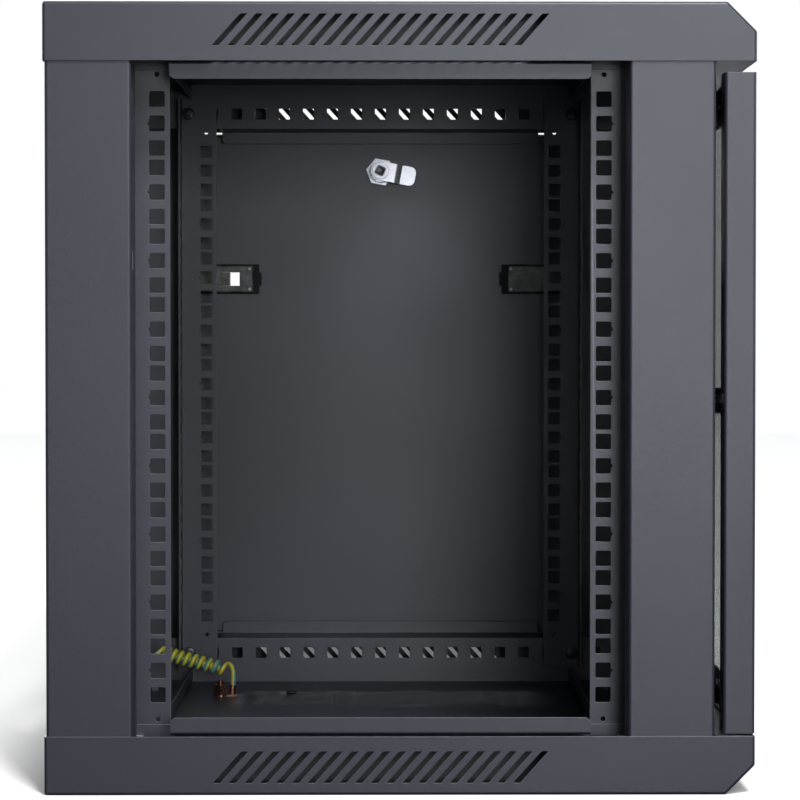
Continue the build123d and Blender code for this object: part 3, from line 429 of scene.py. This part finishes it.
def coilPoints():
    # helix: a radius turning round the coil's axis, from its top over the near side, with a pitch that
    # grows towards the floor end
    start = np.array(wire["coilStart"])
    run = np.array(wire["coilEnd"]) - start
    near = np.array((-1.0, 0.0, 0.0))
    up = np.cross(run / np.linalg.norm(run), near)
    radius = (wire["coilOver"] - wire["diameter"]) / 2
    t = np.linspace(0, 1, wire["turns"] * wire["pointsPerTurn"] + 1)[:, None]
    angle = math.pi / 2 - 2 * math.pi * wire["turns"] * t
    eased = t + wire["loosen"] * t * (1 - t)
    return start + run * eased + radius * (np.cos(angle) * near + np.sin(angle) * up)


def routeCurve(name, points, bevel):
    # a quadratic spline guided by the route's points, with a round section
    curve = bpy.data.curves.new(name, "CURVE")
    curve.dimensions = "3D"
    curve.resolution_u = wire["stepsAlong"]
    curve.bevel_depth = bevel
    curve.bevel_resolution = wire["stepsAround"]
    curve.use_fill_caps = True
    spline = curve.splines.new("NURBS")
    spline.points.add(len(points) - 1)
    spline.points.foreach_set("co", np.c_[points, np.ones(len(points))].ravel())
    spline.order_u = 3
    spline.use_endpoint_u = True
    return curve


def curveMesh(name, curve):
    carrier = bpy.data.objects.new(name + "Carrier", curve)
    bpy.context.scene.collection.objects.link(carrier)
    graph = bpy.context.evaluated_depsgraph_get()
    mesh = bpy.data.meshes.new_from_object(carrier.evaluated_get(graph))
    bpy.data.objects.remove(carrier)
    mesh.name = name
    return mesh


def meshPoints(mesh):
    flat = np.zeros(len(mesh.vertices) * 3)
    mesh.vertices.foreach_get("co", flat)
    return flat.reshape(-1, 3)


def addPiece(name, mesh, body, slotName):
    piece = bpy.data.objects.new(name, mesh)
    bpy.context.scene.collection.objects.link(piece)
    mesh.materials.clear()
    mesh.materials.append(finishes[slotName])
    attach(piece, body)
    return piece


def makeLead():
    route = np.vstack([wire["floorTail"], coilPoints(), wire["backTail"]])
    line = meshPoints(curveMesh("earthLeadLine", routeCurve("earthLeadLine", route, 0.0)))
    tube = curveMesh("earthLead", routeCurve("earthLead", route, wire["diameter"] / 2))
    tube.shade_smooth()
    piece = addPiece("earthLead", tube, "cabinet", "lead_sheath")
    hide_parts("earth_lead_floor_tail", "earth_lead_back_tail", "earth_lead_coil")


def meshFromRings(name, bundles):
    # each bundle is rings of points along one closed skin, with a pole at either end: quads join
    # neighbouring rings, fans close the ends, and a skin with a negative signed volume is turned
    points, faces, count = [], [], 0
    for rings in bundles:
        rows, across = rings.shape[:2]
        poles = np.array((rings[0].mean(0), rings[-1].mean(0)))
        grid = np.arange(rows * across).reshape(rows, across)
        turned = np.roll(grid, -1, axis=1)
        quads = np.stack([grid[:-1], turned[:-1], turned[1:], grid[1:]], -1).reshape(-1, 4)
        low, high = rows * across, rows * across + 1
        fanLow = np.stack([np.full(across, low), turned[0], grid[0], grid[0]], -1)
        fanHigh = np.stack([np.full(across, high), grid[-1], turned[-1], turned[-1]], -1)
        skin = np.vstack([rings.reshape(-1, 3), poles])
        rim = np.vstack([quads, fanLow, fanHigh])
        corner = skin[rim] - skin.mean(0)
        cone = np.einsum("ij,ij->i", corner[:, 0], np.cross(corner[:, 1], corner[:, 2]))
        cone += np.einsum("ij,ij->i", corner[:, 0], np.cross(corner[:, 2], corner[:, 3]))
        if cone.sum() < 0:
            rim = rim[:, ::-1]
        points.append(skin)
        faces.append(rim + count)
        count += len(skin)
    rim = np.vstack(faces)
    rows = [list(dict.fromkeys(row)) for row in rim.tolist()]  # a fan's doubled corner drops out
    mesh = bpy.data.meshes.new(name)
    mesh.from_pydata(np.vstack(points), [], rows)
    mesh.shade_smooth()
    return mesh


def standing(rings, seat, axis):
    # local points, z along the screw's axis, turned to stand on the seat
    axis = np.array(axis, float)
    side = np.cross(axis, (0.0, 0.6, 0.8)) if abs(axis[0]) > 0.5 else np.cross(axis, (1.0, 0.0, 0.0))
    side = side / np.linalg.norm(side)
    return np.array(seat) + rings @ np.array((side, np.cross(axis, side), axis))


# pan heads with a cross recess, on the CAD screws' seats
screws = {
    "across": 48,
    "crown": 0.22,  # share of the head's height that the dome falls to its rim
    "rim": 0.0007,
    "arm": 0.0011,  # width of a recess arm
    "reach": 0.55,  # of the head's radius
    "sink": 0.5,  # of the head's height
    "armFade": 0.0002,  # slope of the recess at an arm's side
    "endFade": 0.0003,  # and at its end
    "pole": 0.02,  # share of the radius inside the first ring
    "domeRows": 16,
    "rimRows": 5,
    "tip": 0.2,  # of the shank's radius, at its last ring
    # radius and height of the head, radius and length of the shank, body, slot
    "sets": {
        "rail_screws": (0.0051, 0.0034, 0.003, 0.009, "cabinet", "black_screw"),
        "clip_screws": (0.0040, 0.0030, 0.0015, 0.001, "door", "black_screw"),
        "entry_screws": (0.0040, 0.0024, 0.002, 0.0024, "cabinet", "black_screw"),
        "back_screws": (0.0045, 0.0026, 0.0025, 0.0024, "cabinet", "zinc_plate"),
    },
    "seats": {
        "rail_screws": [
            ((x * 0.2465, y, z), (-x, 0, 0))
            for x in (-1, 1)
            for y in (-0.1478, 0.1722)
            for z in (0.0255, 0.4755)
        ],
        "clip_screws": [((x, -0.2173, z), (0, 1, 0)) for x in (-0.130, 0.130) for z in (0.0441, 0.4514)]
        + [((x, -0.2173, z), (0, 1, 0)) for x in (-0.228, 0.228) for z in (0.09275, 0.40275)],
        "entry_screws": [((x, 0.0842, 0.0024), (0, 0, 1)) for x in (-0.165, 0.165)]
        + [((x, 0.0842, 0.4986), (0, 0, -1)) for x in (-0.165, 0.165)],
        "back_screws": [
            ((x, 0.2224, z), (0, 1, 0)) for x in (-0.2603, 0.2603) for z in (0.1005, 0.2505, 0.4005)
        ],
    },
}


def screwRings(head, height, shank, length):
    # a turned profile, height against radius: a parabola for the dome, less a cross-shaped dent whose depth
    # fades at the arms' sides and ends, a quarter circle at the rim, then the wall, the underside and
    # the shank
    a = np.linspace(0, 2 * math.pi, screws["across"], endpoint=False)
    flat = head - screws["rim"]
    bend = np.linspace(0, math.pi / 2, screws["rimRows"])[1:]
    top = height * (1 - screws["crown"])
    dome = np.linspace(screws["pole"], 1, screws["domeRows"])
    r = np.concatenate([
        dome * flat,
        flat + screws["rim"] * np.sin(bend),
        [head, shank, shank, screws["tip"] * shank],
    ])
    h = np.concatenate([
        top + height * screws["crown"] * (1 - dome**2),
        top - screws["rim"] * (1 - np.cos(bend)),
        [0, 0, -length, -length],
    ])
    x, y = r[:, None] * np.cos(a), r[:, None] * np.sin(a)
    long, thin = np.maximum(abs(x), abs(y)), np.minimum(abs(x), abs(y))
    onDome = (np.arange(len(r)) < len(dome))[:, None]
    dent = np.clip((screws["arm"] / 2 - thin) / screws["armFade"] + 0.5, 0, 1)
    dent *= np.clip((screws["reach"] * head - long) / screws["endFade"], 0, 1) * onDome
    z = h[:, None] - dent * screws["sink"] * height
    return np.stack([x, y, z], -1)


def makeScrews():
    for node, (head, height, shank, length, body, slotName) in screws["sets"].items():
        rings = screwRings(head, height, shank, length)
        mesh = meshFromRings(node, [standing(rings, *seat) for seat in screws["seats"][node]])
        piece = addPiece(node.replace("_screws", "Screws"), mesh, body, slotName)
        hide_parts(node)


# threaded earth studs
studs = {
    "radius": 0.003,
    "pitch": 0.001,
    "depth": 0.0005,
    "length": 0.0124,
    "taper": 0.3,  # share of the radius lost at the tip
    "across": 32,
    "rows": 100,
    "seats": [((0.161, 0.141, 0.0012), (0, 0, 1)), ((0.161, 0.2238, 0.068), (0, -1, 0))],
}


def makeStuds():
    # radius falls by a rounded groove that climbs one pitch a turn, and tapers over the last pitch
    a = np.linspace(0, 2 * math.pi, studs["across"], endpoint=False)
    z = np.linspace(0, studs["length"], studs["rows"])[:, None]
    groove = 0.5 - 0.5 * np.cos(2 * math.pi * z / studs["pitch"] - a)
    taper = np.clip((z - studs["length"] + studs["pitch"]) / studs["pitch"], 0, 1) * studs["taper"]
    r = (studs["radius"] - studs["depth"] * groove) * (1 - taper)
    rings = np.stack([r * np.cos(a), r * np.sin(a), z + 0 * a], -1)
    mesh = meshFromRings("earthStuds", [standing(rings, *seat) for seat in studs["seats"]])
    piece = addPiece("earthStuds", mesh, "cabinet", "copper_brass")
    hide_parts("earth_studs")


# cam bolts: a round flange and a square head with a sunk top
camBolts = {
    "flange": 0.007,
    "flangeHeight": 0.0014,
    "square": 0.0038,  # half its width
    "squareHeight": 0.0036,
    "sunk": 0.0014,
    "edge": 0.0003,
    "corner": 7,  # power of the square's outline: two would make it round
    "turn": 0.5,  # radians
    "across": 64,
    "seats": {
        "side_lock": ((0.2788, 0.0122, 0.4303), (-1, 0, 0)),
        "door_lock": ((-0.2350, -0.1915, 0.24775), (0, 1, 0)),
    },
}


def turnedRings(outline, rows):
    # each row is a share of the outline's radius and a height; edges get a second row close by, so that
    # shading stays crisp
    rows = np.array(rows)
    a = np.linspace(0, 2 * math.pi, len(outline), endpoint=False) + camBolts["turn"]
    r = rows[:, :1] * outline
    return np.stack([r * np.cos(a), r * np.sin(a), rows[:, 1:] + 0 * a], -1)


def makeCamBolts():
    # outlines by angle: a circle for the flange, a superellipse for the head
    a = np.linspace(0, 2 * math.pi, camBolts["across"], endpoint=False)
    power, edge = camBolts["corner"], camBolts["edge"]
    square = camBolts["square"] * (abs(np.cos(a)) ** power + abs(np.sin(a)) ** power) ** (-1 / power)
    seat, top = camBolts["flangeHeight"], camBolts["flangeHeight"] + camBolts["squareHeight"]
    low = top - camBolts["sunk"]
    flangeRows = [
        (0.2, 0), (0.99, 0), (1, 0.01 * edge), (1, 0.1 * edge), (1, seat - edge), (0.99, seat - 0.3 * edge),
        (0.96, seat), (0.93, seat), (0.2, seat),
    ]
    headRows = [
        (0.2, seat), (0.99, seat), (1, seat + 0.01 * edge), (1, seat + 0.1 * edge), (1, top - edge),
        (0.98, top - 0.3 * edge), (0.93, top), (0.90, top), (0.70, top), (0.67, top - 0.1 * edge),
        (0.65, top - edge), (0.62, low + 0.1 * edge), (0.60, low), (0.1, low),
    ]
    flange = turnedRings(np.full(len(a), camBolts["flange"]), flangeRows)
    head = turnedRings(square, headRows)
    for body, place in camBolts["seats"].items():
        name = body.replace("_lock", "Lock")
        mesh = meshFromRings(name + "BoltFlange", [standing(flange, *place)])
        piece = addPiece(name + "BoltFlange", mesh, body, "zinc_plate")
        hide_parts(body + "_cam_bolt")
        mesh = meshFromRings(name + "BoltHead", [standing(head, *place)])
        addPiece(name + "BoltHead", mesh, body, "black_screw")


# coiled spring round the upper hinge pin
spring = {
    "centre": (0.2895, -0.216),
    "foot": 0.4169,
    "height": 0.027,
    "wire": 0.0012,
    "over": 0.009,
    "turns": 9,
    "pointsPerTurn": 24,
    "around": 10,
    "kept": 0.63,  # of its height, with the pin drawn down
}


def makeSpring():
    # a circle of the wire's radius carried along a helix, with its end turns lying flat
    t = np.linspace(0, 1, spring["turns"] * spring["pointsPerTurn"] + 1)
    angle = 2 * math.pi * spring["turns"] * t
    flatEnd = 1 / spring["turns"]
    rise = np.clip((t - flatEnd / 2) / (1 - flatEnd), 0, 1)
    z = spring["foot"] + spring["wire"] / 2 + (spring["height"] - spring["wire"]) * rise
    mid = (spring["over"] - spring["wire"]) / 2
    out = np.stack([np.cos(angle), np.sin(angle), 0 * t], -1)
    line = np.stack([spring["centre"][0] + mid * out[:, 0], spring["centre"][1] + mid * out[:, 1], z], -1)
    a = np.linspace(0, 2 * math.pi, spring["around"], endpoint=False)[None, :, None]
    up = np.array((0.0, 0.0, 1.0))
    rings = line[:, None] + spring["wire"] / 2 * (np.cos(a) * out[:, None] + np.sin(a) * up)
    piece = addPiece("hingeSpring", meshFromRings("hingeSpring", [rings]), "door", "zinc_plate")
    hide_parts("upper_hinge_spring")
    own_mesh(piece)


finishes = {
    "powder_coat": powderCoat(),
    "zinc_plate": zincPlate(),
    "lock_metal": lockMetal(),
    "black_screw": blackScrew(),
    "black_plastic": blackPlastic(),
    "tinted_glass": tintedGlass(),
    "gasket_foam": gasketFoam(),
    "copper_brass": copperBrass(),
    "lead_sheath": leadSheath(),
}
for row in frame["record"]["subparts"]:
    mesh = nodes[row["node"]].data
    mesh.materials.clear()
    mesh.materials.append(finishes[row["material_slot"]])
print("finishes given to", len(nodes), "nodes")

makeLead()
makeScrews()
makeStuds()
makeCamBolts()
makeSpring()
print("earth lead, screws, studs, cam bolts and spring made")

studio = {
    "floorSize": 12.0,
    "floorDark": (0.88, 0.85, 0.78, 1),
    "floorLight": (0.91, 0.88, 0.81, 1),
    "floorPatch": 3,
    "floorRough": 0.9,
    "floorGlow": 0.9,
    "glowRing": (0.62, 1.2),  # distances from the middle over which the painted shadow fades
    "glowSides": (0.2, 0.33),  # distances towards front and rear over which the painted shadow fades
    "shadow": 0.86,  # painted shadow: share of the glow kept off the floor under and near the cabinet
    "backdrop": (1.0, 1.0, 1.0, 1),  # as the camera sees it, straight or through the glass
    "sky": (0.045, 0.05, 0.065, 1),  # as it lights the cabinet
    "tint": (0.945, 0.965, 1.03),
    "lamps": {
        "levelBox": {"turn": -10, "rise": 3, "away": 2.4, "size": 0.5, "power": 22.5},
        "leftBox": {"turn": 10, "rise": 3, "away": 2.4, "size": 0.5, "power": 3},
        "upperBox": {"turn": -17, "rise": 32, "away": 2.4, "size": 0.5, "power": 18},
        "topBox": {"turn": -17, "rise": 52, "away": 2.4, "size": 0.5, "power": 80},
        "doorBox": {"turn": -98, "rise": 12, "away": 2.6, "size": 1.2, "power": 26},
        "backBox": {"turn": 120, "rise": 28, "away": 2.6, "size": 1.8, "power": 34},
        "farBox": {"turn": 180, "rise": 15, "away": 2.6, "size": 1.2, "power": 55},
    },
    "offFloor": ("doorBox", "backBox", "farBox"),  # these leave the floor behind the cabinet in its shadow
    "round": (-0.3, 0.0, 0.3),  # what the lamps stand round, the open side
    "aim": (-0.1, 0.0, 0.27),
}


def areaLight(name, place, size, power, target):
    # faces its target: tilted from straight down by the aim's slope, and turned to its bearing
    data = bpy.data.lights.new(name, "AREA")
    data.energy = power
    data.size = size
    data.color = studio["tint"]
    lamp = bpy.data.objects.new(name, data)
    lamp.location = place
    aim = np.array(target) - np.array(place)
    lamp.rotation_euler = (
        math.atan2(math.hypot(aim[0], aim[1]), -aim[2]),
        0,
        math.atan2(aim[1], aim[0]) - math.pi / 2,
    )
    lamp.visible_transmission = False  # no lamp shows through the glass
    bpy.context.scene.collection.objects.link(lamp)
    return lamp


def makeStudio():
    # each lamp stands its distance away, turned by an angle from the camera's side and raised above level
    half = studio["floorSize"] / 2
    floor = bpy.data.meshes.new("floor")
    corners = [(-half, -half, 0), (half, -half, 0), (half, half, 0), (-half, half, 0)]
    floor.from_pydata(corners, [], [(0, 1, 2, 3)])
    floor.materials.append(paleFloor())
    ground = bpy.data.objects.new("floor", floor)
    bpy.context.scene.collection.objects.link(ground)
    ground.visible_diffuse = False  # the floor's light stays off the cabinet
    ground.visible_glossy = False
    shaded = bpy.data.collections.new("shadedFloor")
    shaded.objects.link(ground)
    shaded.collection_objects[0].light_linking.link_state = "EXCLUDE"
    for name, lamp in studio["lamps"].items():
        turn, rise = math.radians(lamp["turn"]), math.radians(lamp["rise"])
        out = np.array((-math.cos(rise) * math.cos(turn), math.cos(rise) * math.sin(turn), math.sin(rise)))
        place = np.array(studio["round"]) + lamp["away"] * out
        light = areaLight(name, place, lamp["size"], lamp["power"], studio["aim"])
        if name in studio["offFloor"]:
            light.light_linking.receiver_collection = shaded
    world = bpy.data.worlds.new("studioSky")
    world.use_nodes = True
    tree = world.node_tree
    rays = tree.nodes.new("ShaderNodeLightPath")
    straight, through, scattered, mirrored = (
        Tap(tree, rays.outputs[name])
        for name in ("Is Camera Ray", "Is Transmission Ray", "Diffuse Depth", "Glossy Depth")
    )
    seen = straight + through * (1 - spread(scattered + mirrored, 0, 1, 0, 1))
    feed(tree.nodes["Background"], "Color", mixColour(seen, studio["sky"], studio["backdrop"]))
    scene = bpy.context.scene
    scene.world = world
    scene.view_settings.view_transform = "Standard"


makeStudio()
print("studio lit")
